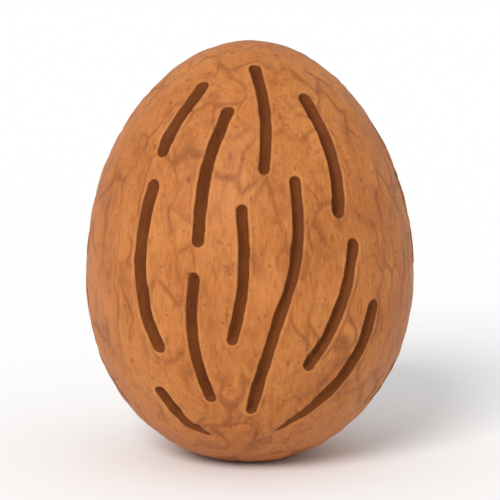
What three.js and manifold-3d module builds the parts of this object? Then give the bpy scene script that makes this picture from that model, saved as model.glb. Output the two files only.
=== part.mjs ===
// A dried nutmeg kernel out of its shell, standing on the small flat of its broad end.
// Millimetres, +Z up, +X to the right. The origin is the middle of the flat that it rests on.
import * as THREE from "three";
import { mergeVertices } from "three/addons/utils/BufferGeometryUtils.js";
import Module from "manifold-3d";

// Driving dimensions.
const height = 25; // from the resting flat to the narrow end
const girthRadius = 9.75; // half of the side-to-side breadth, at the middle of the egg's length
const depthShare = 0.97; // front-to-back breadth over side-to-side breadth
const taper = 0.092; // how much the narrow end draws in, and the broad end swells
const fullness = 0.024; // how much blunter both ends are than an ellipse's
const flatLatitude = THREE.MathUtils.degToRad(-76.8); // where the resting flat cuts the broad end
const furrowDepth = 0.36;
const fadeStart = 0.4; // share of its way at which a fading furrow starts to run out

// How finely the curved shapes are divided.
const eggSides = 40;
const eggRings = 22;
const cutterSides = 6; // of the round bars and balls that cut the furrows
const stepLength = 2; // of a bar, along its furrow
const mergeDistance = 1e-5;

// Furrows in the kernel's surface. A way's points are [share of the height, degrees round the egg],
// counted from the front towards +X, and breadth is the furrow's, in millimetres.
// A furrow that fades has a last stretch that gets narrower and shallower, down to a point.
const frontFurrows = [
  { breadth: 0.66, way: [[0.95, 4], [0.9, 7], [0.83, 7.5], [0.74, 5.5]] },
  { breadth: 0.84, way: [[0.91, -32.2], [0.86, -35.8], [0.81, -38.4], [0.77, -39.2]] },
  { breadth: 0.86, way: [[0.885, 33.4], [0.82, 36], [0.75, 36.8], [0.68, 35.6], [0.64, 34.2]] },
  { breadth: 0.72, way: [[0.86, -11.5], [0.8, -15], [0.72, -17.5], [0.58, -18]] },
  { breadth: 0.68, way: [[0.71, 17.5], [0.6, 17], [0.5, 14.5], [0.4, 9.5], [0.28, 4.5], [0.18, 0.5]] },
  { breadth: 0.88, way: [[0.69, -39], [0.6, -40], [0.5, -39.8], [0.4, -37.2], [0.33, -33.5]] },
  { breadth: 0.64, way: [[0.65, -3], [0.55, -2], [0.45, -3], [0.355, -6]] },
  { breadth: 0.76, way: [[0.56, 38.6], [0.46, 34.2], [0.37, 28.6], [0.29, 21.4]] },
  { breadth: 0.68, way: [[0.495, -19], [0.39, -20], [0.29, -18.5], [0.21, -15.5]] },
  {
    breadth: 0.92,
    fades: true,
    way: [[0.41, 46.8], [0.33, 43.6], [0.25, 37.2], [0.18, 26.6], [0.115, 11.5]],
  },
  { breadth: 0.8, fades: true, way: [[0.21, -37], [0.17, -33.5], [0.13, -28.5], [0.105, -19]] },
];
const sideFurrows = [
  { breadth: 0.7, way: [[0.8, 88], [0.7, 88], [0.58, 86], [0.48, 83]] },
  { breadth: 0.75, fades: true, way: [[0.39, 84], [0.3, 82], [0.21, 77], [0.14, 67]] },
  { breadth: 0.8, way: [[0.9, 100], [0.83, 107], [0.73, 110], [0.62, 109]] },
  { breadth: 0.75, way: [[0.54, 111], [0.44, 109], [0.33, 102], [0.25, 94]] },
  { breadth: 0.7, way: [[0.67, 126], [0.56, 128], [0.46, 128]] },
  { breadth: 0.75, way: [[0.86, 130], [0.8, 128], [0.74, 126]] },
  { breadth: 0.8, fades: true, way: [[0.37, 129], [0.28, 125], [0.19, 114], [0.12, 96]] },
  { breadth: 0.75, way: [[0.91, 247], [0.82, 251], [0.72, 253], [0.63, 252]] },
  { breadth: 0.8, way: [[0.54, 258], [0.43, 259], [0.32, 255], [0.24, 248]] },
  { breadth: 0.7, way: [[0.83, 270], [0.73, 271], [0.61, 274], [0.51, 277]] },
  { breadth: 0.75, fades: true, way: [[0.42, 277], [0.32, 279], [0.22, 284], [0.14, 294]] },
];
const backFurrows = [
  { breadth: 0.75, way: [[0.93, 150], [0.85, 146], [0.74, 144], [0.64, 145]] },
  { breadth: 0.75, way: [[0.53, 147], [0.42, 148], [0.31, 145], [0.22, 138]] },
  { breadth: 0.7, way: [[0.5, 164], [0.4, 167], [0.28, 165], [0.18, 160]] },
  { breadth: 0.7, way: [[0.8, 163], [0.7, 160], [0.6, 162]] },
  { breadth: 0.75, way: [[0.75, 197], [0.62, 201], [0.48, 200], [0.38, 196]] },
  { breadth: 0.7, way: [[0.3, 197], [0.21, 201], [0.14, 209]] },
  { breadth: 0.75, way: [[0.93, 212], [0.84, 217], [0.72, 220]] },
  { breadth: 0.8, way: [[0.62, 219], [0.5, 222], [0.38, 219], [0.27, 213]] },
  { breadth: 0.75, way: [[0.78, 238], [0.66, 241], [0.54, 240], [0.45, 236]] },
  { breadth: 0.8, fades: true, way: [[0.36, 241], [0.26, 236], [0.17, 225], [0.11, 208]] },
];
// The raphe is a long seam that dies away up the back, and the chalaza is a small pit near the tip.
const raphe = {
  breadth: 0.8,
  fades: true,
  way: [[0.07, 176], [0.17, 180], [0.29, 177], [0.42, 182], [0.56, 179], [0.7, 182], [0.84, 179]],
};
const chalaza = { breadth: 1.3, spot: [0.93, 177] };

const lowestU = Math.sin(flatLatitude); // u runs along the egg's whole length, from -1 to 1
const eggLength = (2 * height) / (1 - lowestU);

function eggRadius(u) {
  return girthRadius * Math.sqrt(Math.max(0, 1 - u * u)) * (1 - taper * u + fullness * u * u);
}

function eggPoint(share, degrees, lift) {
  const radius = eggRadius(lowestU + share * (1 - lowestU));
  const angle = THREE.MathUtils.degToRad(degrees);
  const point = new THREE.Vector3(
    radius * Math.sin(angle),
    -depthShare * radius * Math.cos(angle),
    share * height,
  );
  const middle = new THREE.Vector3(0, 0, height - eggLength / 2);
  const outwards = point.clone().sub(middle).normalize();
  return point.addScaledVector(outwards, lift);
}

// The middle line of the round bar that cuts a furrow. It follows the egg's surface at the height
// of rise, and where the furrow fades it lifts until the bar is clear of the surface.
class FurrowWay extends THREE.Curve {
  constructor(furrow, rise) {
    super();
    const points = furrow.way.map(([share, degrees]) => new THREE.Vector2(degrees, share));
    this.trace = new THREE.SplineCurve(points);
    this.rise = rise;
    this.lastLift = furrow.fades ? furrowDepth : 0;
  }

  getPoint(t) {
    const { x: degrees, y: share } = this.trace.getPoint(t);
    const lift = this.rise + this.lastLift * THREE.MathUtils.smoothstep(t, fadeStart, 1);
    return eggPoint(share, degrees, lift);
  }
}

const wasm = await Module();
wasm.setup();

function solidOf(geometry) {
  geometry.deleteAttribute("normal");
  geometry.deleteAttribute("uv");
  const merged = mergeVertices(geometry, mergeDistance);
  const corners = merged.index.array;
  const triVerts = [];
  for (let i = 0; i < corners.length; i += 3) {
    const [a, b, c] = corners.slice(i, i + 3);
    if (a !== b && b !== c && c !== a) {
      triVerts.push(a, b, c);
    }
  }
  const vertProperties = new Float32Array(merged.attributes.position.array);
  return new wasm.Manifold(
    new wasm.Mesh({ numProp: 3, vertProperties, triVerts: new Uint32Array(triVerts) }),
  );
}

function geometryOf(solid) {
  const { vertProperties, triVerts } = solid.getMesh();
  const geometry = new THREE.BufferGeometry();
  geometry.setAttribute("position", new THREE.BufferAttribute(vertProperties, 3));
  geometry.setIndex(new THREE.BufferAttribute(triVerts, 1));
  geometry.computeVertexNormals();
  return geometry;
}

function makeEgg() {
  const profile = [new THREE.Vector2(0, 0)];
  for (let ring = 0; ring < eggRings; ring += 1) {
    const latitude = THREE.MathUtils.lerp(flatLatitude, Math.PI / 2, ring / eggRings);
    const u = Math.sin(latitude);
    profile.push(new THREE.Vector2(eggRadius(u), ((u - lowestU) / (1 - lowestU)) * height));
  }
  profile.push(new THREE.Vector2(0, height));
  const egg = new THREE.LatheGeometry(profile, eggSides);
  egg.rotateX(Math.PI / 2);
  egg.scale(1, depthShare, 1);
  return solidOf(egg);
}

// The radius of the bar or ball that leaves a groove of this breadth and the furrows' depth.
function cutterRadius(breadth) {
  return (breadth ** 2 / 4 + furrowDepth ** 2) / (2 * furrowDepth);
}

function cutPit(kernel, breadth, point) {
  const ball = new THREE.SphereGeometry(cutterRadius(breadth), cutterSides, cutterSides / 2);
  ball.translate(...point);
  return kernel.subtract(solidOf(ball));
}

// A round bar along the furrow's way cuts it, with a ball at each end that doesn't fade.
function cutFurrow(kernel, furrow) {
  const radius = cutterRadius(furrow.breadth);
  const way = new FurrowWay(furrow, radius - furrowDepth);
  const bar = new THREE.ExtrudeGeometry(new THREE.Shape().absarc(0, 0, radius, 0, 2 * Math.PI), {
    steps: Math.ceil(way.getLength() / stepLength),
    curveSegments: cutterSides / 2,
    extrudePath: way,
  });
  let cut = kernel.subtract(solidOf(bar));
  for (const t of furrow.fades ? [0] : [0, 1]) {
    cut = cutPit(cut, furrow.breadth, way.getPoint(t));
  }
  return cut;
}

let kernel = makeEgg();
for (const furrow of [...frontFurrows, ...sideFurrows, ...backFurrows, raphe]) {
  kernel = cutFurrow(kernel, furrow);
}
const pitRise = cutterRadius(chalaza.breadth) - furrowDepth;
kernel = cutPit(kernel, chalaza.breadth, eggPoint(...chalaza.spot, pitRise));

const nutmeg = new THREE.Mesh(
  geometryOf(kernel),
  new THREE.MeshStandardMaterial({ color: "#c87e47", roughness: 0.6, metalness: 0 }),
);
nutmeg.name = "nutmeg";

const group = new THREE.Group();
group.add(nutmeg);

export default group;
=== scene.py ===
import math

import bpy
import numpy as np
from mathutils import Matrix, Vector, kdtree, noise


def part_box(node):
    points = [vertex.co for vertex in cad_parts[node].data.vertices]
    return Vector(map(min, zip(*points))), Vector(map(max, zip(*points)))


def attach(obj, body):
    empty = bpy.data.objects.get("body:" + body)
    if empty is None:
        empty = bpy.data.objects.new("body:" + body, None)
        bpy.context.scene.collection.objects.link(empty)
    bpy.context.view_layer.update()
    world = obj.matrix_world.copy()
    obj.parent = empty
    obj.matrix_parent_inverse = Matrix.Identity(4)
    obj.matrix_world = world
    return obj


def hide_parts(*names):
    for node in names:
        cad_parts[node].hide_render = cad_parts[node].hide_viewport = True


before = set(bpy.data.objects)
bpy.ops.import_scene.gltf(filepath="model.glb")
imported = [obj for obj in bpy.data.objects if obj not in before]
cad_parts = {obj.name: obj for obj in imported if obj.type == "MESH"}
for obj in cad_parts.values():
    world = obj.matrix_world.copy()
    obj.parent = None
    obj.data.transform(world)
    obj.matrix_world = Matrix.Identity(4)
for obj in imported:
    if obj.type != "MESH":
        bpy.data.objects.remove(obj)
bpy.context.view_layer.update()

# A dried nutmeg kernel, standing on its broad end. Metres, +Z up, its front faces -Y.
# Sizes in the dictionaries are in millimetres unless a note says otherwise.
mm = 0.001
low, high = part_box("nutmeg")
height = high.z - low.z
middle = (low + high) / 2


def lookFrom(azimuth, elevation):
    # the direction from the kernel to a camera or a light, azimuth 0 in front and 90 to the right
    a, e = math.radians(azimuth), math.radians(elevation)
    return Vector((math.sin(a) * math.cos(e), -math.cos(a) * math.cos(e), math.sin(e)))


def deselect():
    bpy.ops.object.select_all(action="DESELECT")


def linear(hexColour):
    # sRGB hex to the linear colour that a shader wants
    parts = [int(hexColour[i:i + 2], 16) / 255 for i in (1, 3, 5)]
    return (*[p / 12.92 if p <= 0.04045 else ((p + 0.055) / 1.055) ** 2.4 for p in parts], 1)


def between(start, end, share):
    # start where share is 0, end where it is 1
    return start + (end - start) * share


def smoothStep(start, end, x):
    # 0 up to start and 1 from end on, with a soft rise between
    t = np.clip((x - start) / (end - start), 0, 1)
    return t * t * (3 - 2 * t)


cameraSet = {
    "lens": 200,
    "elevation": 10,  # degrees
    "distance": 6.64,  # in kernel heights
    "aimHeight": 0.498,  # share of the kernel's height that the camera looks at
    "nearest": 10,
}


def addCamera():
    aim = Vector((0, 0, low.z + cameraSet["aimHeight"] * height))
    back = lookFrom(0, cameraSet["elevation"])
    deselect()
    bpy.ops.object.camera_add(location=aim + back * cameraSet["distance"] * height)
    camera = bpy.context.object
    camera.name = "camera"
    camera.rotation_euler = (-back).to_track_quat("-Z", "Y").to_euler()
    camera.data.lens = cameraSet["lens"]
    camera.data.clip_start = cameraSet["nearest"] * mm
    bpy.context.scene.camera = camera


addCamera()
print("camera set")

# Furrows: each way's points are [share of the height, degrees round the kernel from the front towards +X]
# and breadth is in mm. A furrow that fades runs out to a point.
frontFurrows = [
    {"breadth": 0.66, "way": [[0.95, 4], [0.9, 7], [0.83, 7.5], [0.74, 5.5]]},
    {"breadth": 0.84, "way": [[0.91, -32.2], [0.86, -35.8], [0.81, -38.4], [0.77, -39.2]]},
    {"breadth": 0.86, "way": [[0.885, 33.4], [0.82, 36], [0.75, 36.8], [0.68, 35.6], [0.64, 34.2]]},
    {"breadth": 0.72, "way": [[0.86, -11.5], [0.8, -15], [0.72, -17.5], [0.58, -18]]},
    {"breadth": 0.68, "way": [[0.71, 17.5], [0.6, 17], [0.5, 14.5], [0.4, 9.5], [0.28, 4.5], [0.18, 0.5]]},
    {"breadth": 0.88, "way": [[0.69, -39], [0.6, -40], [0.5, -39.8], [0.4, -37.2], [0.33, -33.5]]},
    {"breadth": 0.64, "way": [[0.65, -3], [0.55, -2], [0.45, -3], [0.355, -6]]},
    {"breadth": 0.76, "way": [[0.56, 38.6], [0.46, 34.2], [0.37, 28.6], [0.29, 21.4]]},
    {"breadth": 0.68, "way": [[0.495, -19], [0.39, -20], [0.29, -18.5], [0.21, -15.5]]},
    {"breadth": 0.92, "fades": True,
     "way": [[0.41, 46.8], [0.33, 43.6], [0.25, 37.2], [0.18, 26.6], [0.115, 11.5]]},
    {"breadth": 0.8, "fades": True, "way": [[0.21, -37], [0.17, -33.5], [0.13, -28.5], [0.105, -19]]},
]
sideFurrows = [
    {"breadth": 0.7, "way": [[0.8, 88], [0.7, 88], [0.58, 86], [0.48, 83]]},
    {"breadth": 0.75, "fades": True, "way": [[0.39, 84], [0.3, 82], [0.21, 77], [0.14, 67]]},
    {"breadth": 0.8, "way": [[0.9, 100], [0.83, 107], [0.73, 110], [0.62, 109]]},
    {"breadth": 0.75, "way": [[0.54, 111], [0.44, 109], [0.33, 102], [0.25, 94]]},
    {"breadth": 0.7, "way": [[0.67, 126], [0.56, 128], [0.46, 128]]},
    {"breadth": 0.75, "way": [[0.86, 130], [0.8, 128], [0.74, 126]]},
    {"breadth": 0.8, "fades": True, "way": [[0.37, 129], [0.28, 125], [0.19, 114], [0.12, 96]]},
    {"breadth": 0.75, "way": [[0.91, 247], [0.82, 251], [0.72, 253], [0.63, 252]]},
    {"breadth": 0.8, "way": [[0.54, 258], [0.43, 259], [0.32, 255], [0.24, 248]]},
    {"breadth": 0.7, "way": [[0.83, 270], [0.73, 271], [0.61, 274], [0.51, 277]]},
    {"breadth": 0.75, "fades": True, "way": [[0.42, 277], [0.32, 279], [0.22, 284], [0.14, 294]]},
]
backFurrows = [
    {"breadth": 0.75, "way": [[0.93, 150], [0.85, 146], [0.74, 144], [0.64, 145]]},
    {"breadth": 0.75, "way": [[0.53, 147], [0.42, 148], [0.31, 145], [0.22, 138]]},
    {"breadth": 0.7, "way": [[0.5, 164], [0.4, 167], [0.28, 165], [0.18, 160]]},
    {"breadth": 0.7, "way": [[0.8, 163], [0.7, 160], [0.6, 162]]},
    {"breadth": 0.75, "way": [[0.75, 197], [0.62, 201], [0.48, 200], [0.38, 196]]},
    {"breadth": 0.7, "way": [[0.3, 197], [0.21, 201], [0.14, 209]]},
    {"breadth": 0.75, "way": [[0.93, 212], [0.84, 217], [0.72, 220]]},
    {"breadth": 0.8, "way": [[0.62, 219], [0.5, 222], [0.38, 219], [0.27, 213]]},
    {"breadth": 0.75, "way": [[0.78, 238], [0.66, 241], [0.54, 240], [0.45, 236]]},
    {"breadth": 0.8, "fades": True, "way": [[0.36, 241], [0.26, 236], [0.17, 225], [0.11, 208]]},
]
# the raphe, a seam that dies away up the back, and the chalaza, a small pit near the tip
raphe = {"breadth": 0.8, "fades": True,
         "way": [[0.07, 176], [0.17, 180], [0.29, 177], [0.42, 182], [0.56, 179], [0.7, 182], [0.84, 179]]}
chalaza = {"breadth": 1.3, "way": [[0.93, 177], [0.931, 177]]}

kernelShape = {
    "taper": 0.092,  # the narrow end draws in and the broad end swells
    "fullness": 0.024,  # both ends are blunter than an ellipse's
    "flatLatitude": -76.8,  # degrees, where the resting flat cuts the broad end
    "flatRim": 0.12,  # how softly the flat meets the sides
    "subdivisions": 7,
    "faintest": 0.001,  # share of a relief's height below which the skin isn't pressed
    # Lumps are (size, seed) of an uneven pattern.
    "swell": 0.4,  # height of the broad uneven growth
    "swellLumps": (9, 62.37),
    "stretch": 3.2,  # how much longer than broad the drying made the wrinkles and the veins' meshes
    "stray": 0.7,  # how far they stray from straight
    "strayLumps": [(1.7, 41), (1.7, 47), (1.7, 53)],
    "wrinkle": 0.12,  # height of the wrinkles
    "wrinkleLumps": (0.8, 21),
    "fineWrinkle": 0.5,  # share of the wrinkles' height that the finer ones add
    "fineLumps": (0.4, 25),
    "vein": -0.06,  # depth of the net of veins
    "veinMesh": 1.9,
    "veinBreadth": 0.13,
    "veinPatches": (2.6, 37),  # where the net shows and where it is lost
    "veinShows": (-0.35, 0.3),  # the patches' noise from which it starts to show, and shows in full
    "polePatch": (0.5, 3.5),  # the skin gets smoother this near the axis, at both ends
    "poleWrinkle": 0.3,  # share of the wrinkles' height that is left there
    "poleVein": 0.2,
    "furrow": -0.36,  # depth of the furrows
    "furrowWall": (0.25, 1.12),  # foot and top of a furrow's wall, 0 being its middle and 1 its edge
    "furrowFloor": (0.92, 0.2),  # share of the depth that the floor has, and how much that varies
    "furrowLumps": (1.6, 9),
    "fadeStart": 0.4,  # share of its way at which a fading furrow starts to run out
    "marks": 300,  # along each furrow
    "narrowest": 0.01,  # least half breadth, where a fading furrow has run out
    "bite": 0.05,  # a furrow's edge strays in and out by this much
    "biteLumps": (0.9, 1),
    "fineBite": 0.017,
    "fineBiteLumps": (0.333, 5),
    "lip": 0.05,  # height of the raised lip along a furrow's edge
    "lipPlace": 0.1,  # how far outside the edge
    "lipBreadth": 0.1,
    "lipShare": (0.7, 0.9),  # share of the height that the lip has, and how much that varies
    "lipPatches": (2.2, 13),
    "scar": -0.1,  # depth of the hilum, the scar in the resting flat
    "scarBreadth": 3.4,
    "scarWall": (0.8, 1.1),  # foot and top of its wall, 0 being its middle and 1 its edge
    "scarStray": 0.5,  # its edge strays in and out by this much
    "scarReach": 1,  # it lies within this height above the flat
    "scarLumps": (1.1, 61),
}
flatU = math.sin(math.radians(kernelShape["flatLatitude"]))
eggLength = 2 * height / (1 - flatU)
eggMiddle = Vector((0, 0, high.z - eggLength / 2))


def eggShare(u):
    # radius of the egg's outline, at u from -1 to 1 along its length, against the radius at its middle
    return np.sqrt(np.maximum(0, 1 - u * u)) * blunting(u)


def blunting(u):
    return 1 - kernelShape["taper"] * u + kernelShape["fullness"] * u * u


profileSteps = 401
widest = eggShare(np.linspace(-1, 1, profileSteps)).max()
girthX = (high.x - low.x) / 2 / widest
girthY = (high.y - low.y) / 2 / widest


def eggPoint(share, degrees):
    r = eggShare(flatU + share * (1 - flatU))
    a = math.radians(degrees)
    return Vector((girthX * r * math.sin(a), -girthY * r * math.cos(a), low.z + share * height))


def along(way, t):
    # the point at t on a smooth line through the way's points
    at = t * (len(way) - 1)
    i = min(int(at), len(way) - 2)
    w = at - i
    p = [np.array(way[max(0, min(j, len(way) - 1))]) for j in (i - 1, i, i + 1, i + 2)]
    v0, v1 = (p[2] - p[0]) / 2, (p[3] - p[1]) / 2
    return ((2 * p[1] - 2 * p[2] + v0 + v1) * w ** 3
            + (3 * p[2] - 3 * p[1] - 2 * v0 - v1) * w ** 2 + v0 * w + p[1])


def unwrapCube(cube):
    # six even squares in three columns and two rows, for the exported textures
    layer = cube.data.uv_layers.active
    layer.name = "OFBake"
    columns, rows = 3, 2
    corners = [(0, 0), (1, 0), (1, 1), (0, 1)]
    gap = 0.012  # share of a square that is left free along its sides
    for face in cube.data.polygons:
        row, column = divmod(face.index, columns)
        for loop, (x, y) in zip(face.loop_indices, corners):
            u = (column + gap + x * (1 - 2 * gap)) / columns
            v = (row + gap + y * (1 - 2 * gap)) / rows
            layer.data[loop].uv = (u, v)


def addModifier(piece, kind, **settings):
    modifier = piece.modifiers.new(kind.lower(), kind)
    for name, value in settings.items():
        setattr(modifier, name, value)
    bpy.context.view_layer.objects.active = piece
    bpy.ops.object.modifier_apply(modifier=modifier.name)


def addBall():
    # a ball of even squares, from a cube: it has no poles to pinch the furrows
    deselect()
    bpy.ops.mesh.primitive_cube_add(size=2)
    ball = bpy.context.object
    ball.name = "kernel"
    unwrapCube(ball)
    steps = kernelShape["subdivisions"]
    addModifier(ball, "SUBSURF", levels=steps, render_levels=steps, uv_smooth="NONE")
    bpy.ops.object.mode_set(mode="EDIT")
    bpy.ops.mesh.select_all(action="SELECT")
    bpy.ops.transform.tosphere(value=1)
    bpy.ops.object.mode_set(mode="OBJECT")
    return ball


def readPoints(piece):
    points = np.zeros(len(piece.data.vertices) * 3)
    piece.data.vertices.foreach_get("co", points)
    return points.reshape(-1, 3)


def writePoints(piece, points):
    piece.data.vertices.foreach_set("co", points.ravel())
    piece.data.update()


def placeOf(egg):
    # where the skin's points are from the kernel's middle, in mm
    return (readPoints(egg) - np.array(eggMiddle)) / mm


def shapeEgg(ball):
    points = readPoints(ball)
    points /= np.linalg.norm(points, axis=1)[:, None]
    around = blunting(points[:, 2])
    points[:, 0] *= girthX * around
    points[:, 1] *= girthY * around
    points[:, 2] = eggMiddle.z + points[:, 2] * eggLength / 2
    writePoints(ball, points)


def fitEgg(egg):
    # back to the frame's breadths, and to the egg's whole length
    points = readPoints(egg)
    ends = [(low.x, high.x), (low.y, high.y), (high.z - eggLength, high.z)]
    for axis, box in enumerate(ends):
        column = points[:, axis]
        points[:, axis] = np.interp(column, (column.min(), column.max()), box)
    writePoints(egg, points)


def press(egg, weights, distance):
    # pushes the skin out by that many mm where its weight is 1, as with painted weights
    group = egg.vertex_groups.new(name="pressed")
    for i in np.flatnonzero(weights > kernelShape["faintest"]):
        group.add([int(i)], float(weights[i]), "REPLACE")
    addModifier(egg, "DISPLACE", vertex_group=group.name, mid_level=0, strength=distance * mm)
    egg.vertex_groups.clear()


def keepForColour(egg, name, values):
    egg.data.attributes.new(name, "FLOAT", "POINT").data.foreach_set("value", values)


def noiseAt(points, lumps):
    # smooth noise from about -1 to 1
    size, seed = lumps
    return np.array([noise.noise(Vector(p) / size + Vector((seed, seed, seed))) for p in points])


def swellEgg(egg):
    press(egg, 0.5 + 0.5 * noiseAt(placeOf(egg), kernelShape["swellLumps"]), kernelShape["swell"])
    fitEgg(egg)


def wrinkleSkin(egg):
    # wrinkles and a net of veins, which the drying drew from end to end
    place = placeOf(egg)
    fromEnds = smoothStep(*kernelShape["polePatch"], np.hypot(place[:, 0], place[:, 1]))
    stray = [noiseAt(place, lumps) * kernelShape["stray"] for lumps in kernelShape["strayLumps"]]
    drawn = (place + np.stack(stray, axis=1)) * (1, 1, 1 / kernelShape["stretch"])
    wrinkles = noiseAt(drawn, kernelShape["wrinkleLumps"])
    wrinkles += kernelShape["fineWrinkle"] * noiseAt(drawn, kernelShape["fineLumps"])
    wrinkles = np.clip(wrinkles, -1, 1) * between(kernelShape["poleWrinkle"], 1, fromEnds)
    wrinkles = 0.5 + 0.5 * wrinkles
    press(egg, wrinkles, kernelShape["wrinkle"])
    keepForColour(egg, "wrinkle", wrinkles)
    # a vein runs where the two nearest mesh middles are equally far
    nearest = np.array([noise.voronoi(Vector(p) / kernelShape["veinMesh"])[0][:2] for p in drawn])
    fromVein = (nearest[:, 1] - nearest[:, 0]) * kernelShape["veinMesh"]
    veins = np.exp(-((fromVein / kernelShape["veinBreadth"]) ** 2))
    veins *= smoothStep(*kernelShape["veinShows"], noiseAt(place, kernelShape["veinPatches"]))
    veins *= between(kernelShape["poleVein"], 1, fromEnds)
    press(egg, veins, kernelShape["vein"])
    keepForColour(egg, "vein", veins)


def furrowMarks():
    # closely spaced marks down the middle of each furrow: (spot, half its breadth in mm, depth share)
    marks = []
    for furrow in [*frontFurrows, *sideFurrows, *backFurrows, raphe, chalaza]:
        for t in np.linspace(0, 1, kernelShape["marks"]):
            share, degrees = along(furrow["way"], t)
            run = float(smoothStep(kernelShape["fadeStart"], 1, t)) if furrow.get("fades") else 0
            half = furrow["breadth"] / 2 * math.sqrt(1 - run * run)
            marks.append((eggPoint(share, degrees), half, 1 - run))
    return marks


def cutFurrows(egg):
    place = placeOf(egg)
    marks = furrowMarks()
    tree = kdtree.KDTree(len(marks))
    for i, mark in enumerate(marks):
        tree.insert(mark[0], i)
    tree.balance()
    nearest = [tree.find(point)[1] for point in readPoints(egg)]
    halves = np.array([marks[i][1] for i in nearest])
    depths = np.array([marks[i][2] for i in nearest])
    # how far from the furrow's middle, measured along the skin
    away = place - (np.array([marks[i][0] for i in nearest]) - np.array(eggMiddle)) / mm
    outwards = place / np.array([girthX, girthY, eggLength / 2]) ** 2
    outwards /= np.linalg.norm(outwards, axis=1)[:, None]
    away -= outwards * (away * outwards).sum(axis=1)[:, None]
    # mm outside the furrow's uneven edge, and the place across it: 0 along its middle, 1 at its edge
    edge = np.linalg.norm(away, axis=1) - halves
    edge += kernelShape["bite"] * noiseAt(place, kernelShape["biteLumps"])
    edge += kernelShape["fineBite"] * noiseAt(place, kernelShape["fineBiteLumps"])
    across = 1 + edge / np.maximum(halves, kernelShape["narrowest"])
    lips = np.exp(-(((edge - kernelShape["lipPlace"]) / kernelShape["lipBreadth"]) ** 2))
    share, vary = kernelShape["lipShare"]
    lips *= depths * np.clip(share + vary * noiseAt(place, kernelShape["lipPatches"]), 0, 1)
    press(egg, lips, kernelShape["lip"])
    keepForColour(egg, "lip", lips)
    cut = (1 - smoothStep(*kernelShape["furrowWall"], across)) * depths
    share, vary = kernelShape["furrowFloor"]
    cut = np.clip(cut * (share + vary * noiseAt(place, kernelShape["furrowLumps"])), 0, 1)
    press(egg, cut, kernelShape["furrow"])
    keepForColour(egg, "furrow", cut)
    keepForColour(egg, "furrowEdge", edge)
    fitEgg(egg)


def flattenEnd(egg):
    # the resting flat, with a soft rim
    points = readPoints(egg)
    above = (points[:, 2] - low.z) / mm
    rim = kernelShape["flatRim"]
    rounded = np.where(above < -rim, 0, (above + rim) ** 2 / (4 * rim))
    points[:, 2] = low.z + np.where(above > rim, above, rounded) * mm
    writePoints(egg, points)


def scarFlat(egg):
    # the hilum, where the seed grew on to its stalk
    place = (readPoints(egg) - np.array([0, 0, low.z])) / mm
    reach = np.hypot(place[:, 0], place[:, 1])
    reach += kernelShape["scarStray"] * noiseAt(place, kernelShape["scarLumps"])
    scar = 1 - smoothStep(*kernelShape["scarWall"], reach * 2 / kernelShape["scarBreadth"])
    scar *= place[:, 2] < kernelShape["scarReach"]
    press(egg, scar, kernelShape["scar"])
    keepForColour(egg, "scar", scar)


kernel = addBall()
shapeEgg(kernel)
swellEgg(kernel)
print("egg shaped:", len(kernel.data.vertices), "points")
wrinkleSkin(kernel)
print("skin wrinkled")
cutFurrows(kernel)
print("furrows cut")
flattenEnd(kernel)
scarFlat(kernel)
bpy.ops.object.shade_smooth()


def addNode(tree, kind, settings=None, links=None):
    node = tree.nodes.new(kind)
    for name, value in (settings or {}).items():
        if isinstance(name, int) or name in node.inputs:
            node.inputs[name].default_value = value
        else:
            setattr(node, name, value)
    for name, source in (links or {}).items():
        tree.links.new(source, node.inputs[name])
    return node


# Dried nutmeg seed coat: a woody skin that shrank as it dried, and was rubbed smooth in its sack. It gives
# a matt surface with a slight, uneven waxy sheen, warm brown patches with finer streaks from end to end,
# darker veins and pores, and furrows with dark dusty floors and paler lips. The colours also hold painted
# shade, a dark line just inside each furrow's edge and a darker floor where a furrow is deepest, and a
# painted highlight, which together with rubbed wear makes the lips paler.
# Each pattern has its spacing in mm and how far it is drawn out from end to end. Pores and grain are drawn
# about twice as coarse as real ones, so that they show.
# Each coat is laid over the ones before it: (colour, pattern, the pattern's values at which the coat starts
# and is full, strength).
seedCoat = {
    "body": "#b46c33",
    "noiseDetail": 3,
    "noises": {"patch": (4, 1), "streak": (0.36, 7), "grain": (0.17, 4)},
    "spots": {"pore": (0.65, 1), "fleck": (1.1, 2.2)},
    "coats": [
        ("#be773c", "patch", 0.5, 0.68, 1),
        ("#a9632e", "patch", 0.5, 0.34, 0.75),
        ("#8f4f24", "streak", 0.52, 0.74, 0.45),
        ("#be773c", "wrinkle", 0.55, 0.85, 0.45),
        ("#8f4f24", "wrinkle", 0.45, 0.15, 0.5),
        ("#5e3216", "scar", 0.02, 0.35, 0.8),
        ("#bd8551", "scar", 0.4, 0.9, 0.85),
        ("#c48044", "grain", 0.52, 0.72, 0.5),
        ("#8f4f24", "grain", 0.47, 0.28, 0.45),
        ("#7a4320", "pore", 0.18, 0.08, 0.4),
        ("#7a4320", "fleck", 0.15, 0.09, 0.5),
        ("#86481f", "vein", 0.05, 0.8, 0.6),
        # paler along the furrows' raised lips: partly rubbed wear, partly a painted highlight on the raised
        # edge
        ("#ca8348", "lip", 0.25, 1, 0.6),
        # painted shade: a dark line just inside each furrow's edge, over the top of its wall
        ("#57290c", "furrowEdge", 0.03, -0.03, 1),
        ("#6e370b", "furrowEdge", -0.02, -0.09, 1),
        # painted shade: darker still where a furrow is deepest
        ("#5c2a07", "furrow", 0.7, 1, 1),
    ],
    "IOR": 1.45,
    "specular": 0.25,
    "roughness": (0.42, 0.6),  # least and most
    "roughnessGrain": (0.35, 0.65),  # the grain's values that have those two
    "dust": 0.3,  # roughness that the dust adds in a furrow
    "dustEdge": (0.02, -0.1),  # mm outside the furrow's edge at which it starts, and is full
    "poreWall": (0.08, 0.24),  # foot and top of a pore's wall, in spacings from its middle
    "relief": 0.04,  # height of the grain, the streaks and the pores
}


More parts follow.
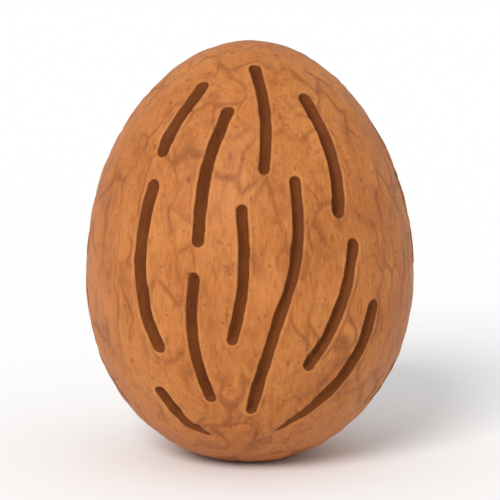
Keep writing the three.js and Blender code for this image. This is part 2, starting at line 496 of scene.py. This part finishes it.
def seedCoatMaterial():
    material = bpy.data.materials.new("driedSeedCoat")
    material.use_nodes = True
    tree = material.node_tree
    tree.nodes.clear()
    place = addNode(tree, "ShaderNodeTexCoord").outputs["Object"]
    patterns = {}
    for name in ("wrinkle", "vein", "lip", "furrow", "furrowEdge", "scar"):
        patterns[name] = addNode(tree, "ShaderNodeAttribute", {"attribute_name": name}).outputs["Fac"]
    for name, (spacing, length) in seedCoat["noises"].items():
        drawn = addNode(tree, "ShaderNodeMapping", {"Scale": (1, 1, 1 / length)}, {"Vector": place})
        settings = {"Scale": 1 / (spacing * mm), "Detail": seedCoat["noiseDetail"]}
        noises = addNode(tree, "ShaderNodeTexNoise", settings, {"Vector": drawn.outputs[0]})
        patterns[name] = noises.outputs["Fac"]
    for name, (spacing, length) in seedCoat["spots"].items():
        drawn = addNode(tree, "ShaderNodeMapping", {"Scale": (1, 1, 1 / length)}, {"Vector": place})
        settings = {"Scale": 1 / (spacing * mm)}
        spots = addNode(tree, "ShaderNodeTexVoronoi", settings, {"Vector": drawn.outputs[0]})
        patterns[name] = spots.outputs["Distance"]

    # in a colour mix, 0 is how much the new coat covers, 6 is what lies under it and 7 is its colour
    colour = None
    for hexColour, name, start, full, strength in seedCoat["coats"]:
        settings = {"From Min": start, "From Max": full, "To Max": strength}
        cover = addNode(tree, "ShaderNodeMapRange", settings, {"Value": patterns[name]})
        settings = {"data_type": "RGBA", 6: linear(seedCoat["body"]), 7: linear(hexColour)}
        coat = addNode(tree, "ShaderNodeMix", settings, {0: cover.outputs[0]})
        if colour:
            tree.links.new(colour, coat.inputs[6])
        colour = coat.outputs[2]

    foot, top = seedCoat["poreWall"]
    pores = addNode(tree, "ShaderNodeMapRange", {"From Min": foot, "From Max": top},
                    {"Value": patterns["pore"]})
    grain = addNode(tree, "ShaderNodeMath", {"operation": "ADD"},
                    {0: patterns["grain"], 1: patterns["streak"]})
    relief = addNode(tree, "ShaderNodeMath", {"operation": "ADD"},
                     {0: grain.outputs[0], 1: pores.outputs[0]})
    bump = addNode(tree, "ShaderNodeBump", {"Distance": seedCoat["relief"] * mm},
                   {"Height": relief.outputs[0]})

    start, full = seedCoat["roughnessGrain"]
    least, most = seedCoat["roughness"]
    settings = {"From Min": start, "From Max": full, "To Min": least, "To Max": most}
    uneven = addNode(tree, "ShaderNodeMapRange", settings, {"Value": patterns["grain"]})
    start, full = seedCoat["dustEdge"]
    settings = {"From Min": start, "From Max": full, "To Max": seedCoat["dust"]}
    dusty = addNode(tree, "ShaderNodeMapRange", settings, {"Value": patterns["furrowEdge"]})
    rough = addNode(tree, "ShaderNodeMath", {"operation": "ADD"},
                    {0: uneven.outputs[0], 1: dusty.outputs[0]})

    settings = {"IOR": seedCoat["IOR"], "Specular IOR Level": seedCoat["specular"]}
    links = {"Base Color": colour, "Roughness": rough.outputs[0], "Normal": bump.outputs[0]}
    skin = addNode(tree, "ShaderNodeBsdfPrincipled", settings, links)
    addNode(tree, "ShaderNodeOutputMaterial", links={"Surface": skin.outputs[0]})
    return material


kernel.data.materials.append(seedCoatMaterial())
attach(kernel, "root")
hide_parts("nutmeg")
print("kernel finished")

studio = {
    "floorSize": 8,  # metres
    "floorDrop": 0.01,
    "card": "#f5f5f5",
    "keyAngles": (-24, 36),  # round to the right from the front, and up
    "keyDistance": 10,  # in kernel heights
    "keyStrength": 2.1,
    "keySoftness": 26,  # degrees
    "skyStrength": 0.7,
}


def addFloor():
    # matt white card
    deselect()
    place = (0, 0, low.z - studio["floorDrop"] * mm)
    bpy.ops.mesh.primitive_plane_add(size=studio["floorSize"], location=place)
    floor = bpy.context.object
    floor.name = "floor"
    material = bpy.data.materials.new("whiteCard")
    material.use_nodes = True
    shader = material.node_tree.nodes["Principled BSDF"]
    shader.inputs["Base Color"].default_value = linear(studio["card"])
    shader.inputs["Roughness"].default_value = 1
    shader.inputs["Specular IOR Level"].default_value = 0
    floor.data.materials.append(material)


def addLights():
    deselect()
    back = lookFrom(*studio["keyAngles"])
    bpy.ops.object.light_add(type="SUN", location=middle + back * studio["keyDistance"] * height)
    key = bpy.context.object
    key.name = "key"
    key.rotation_euler = (-back).to_track_quat("-Z", "Y").to_euler()
    key.data.energy = studio["keyStrength"]
    key.data.angle = math.radians(studio["keySoftness"])
    # an even soft light from all round, where the camera sees the lit card's tone instead, so that the
    # card seems to run on up
    world = bpy.data.worlds.new("studio")
    world.use_nodes = True
    tree = world.node_tree
    tree.nodes.clear()
    cardLight = studio["keyStrength"] * back.z / math.pi + studio["skyStrength"]
    soft = addNode(tree, "ShaderNodeBackground", {"Color": (1, 1, 1, 1), "Strength": studio["skyStrength"]})
    card = addNode(tree, "ShaderNodeBackground", {"Color": linear(studio["card"]), "Strength": cardLight})
    rays = addNode(tree, "ShaderNodeLightPath")
    seen = addNode(tree, "ShaderNodeMixShader",
                   links={0: rays.outputs["Is Camera Ray"], 1: soft.outputs[0], 2: card.outputs[0]})
    addNode(tree, "ShaderNodeOutputWorld", links={"Surface": seen.outputs[0]})
    bpy.context.scene.world = world


addFloor()
addLights()
bpy.context.scene.view_settings.view_transform = "Standard"
print("floor and lights set")
